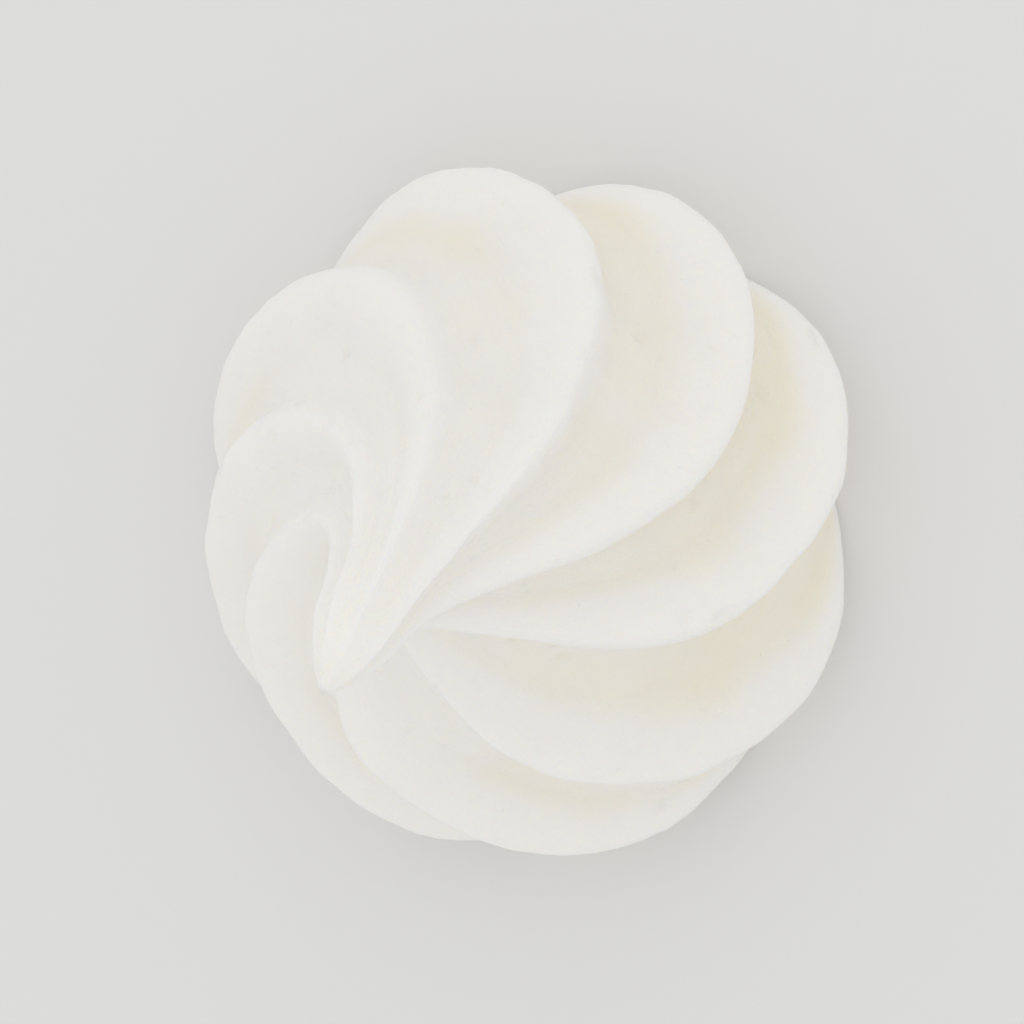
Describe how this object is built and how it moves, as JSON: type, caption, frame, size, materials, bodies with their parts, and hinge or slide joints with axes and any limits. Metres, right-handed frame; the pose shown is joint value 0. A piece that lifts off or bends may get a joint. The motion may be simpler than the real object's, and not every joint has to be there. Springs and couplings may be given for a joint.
{
  "type": "meringue cookie",
  "caption": "Small piped meringue kiss with uneven ridges winding round a fat belly into a thin peak that falls to one side, on a flat foot.",
  "frame": {"origin": "middle of the bounding box at the flat foot, on the surface that the meringue stands on", "axes": "+Z up from the foot to the peak; seen from above with +Y up, the peak has fallen towards the lower left"},
  "size_m": [0.0402, 0.0412, 0.0353],
  "materials": {
    "baked_meringue": "dry baked egg-white foam, satin white with warmer cream in the creases"
  },
  "bodies": {
    "root": {"meringue": "baked_meringue"}
  },
  "joints": []
}
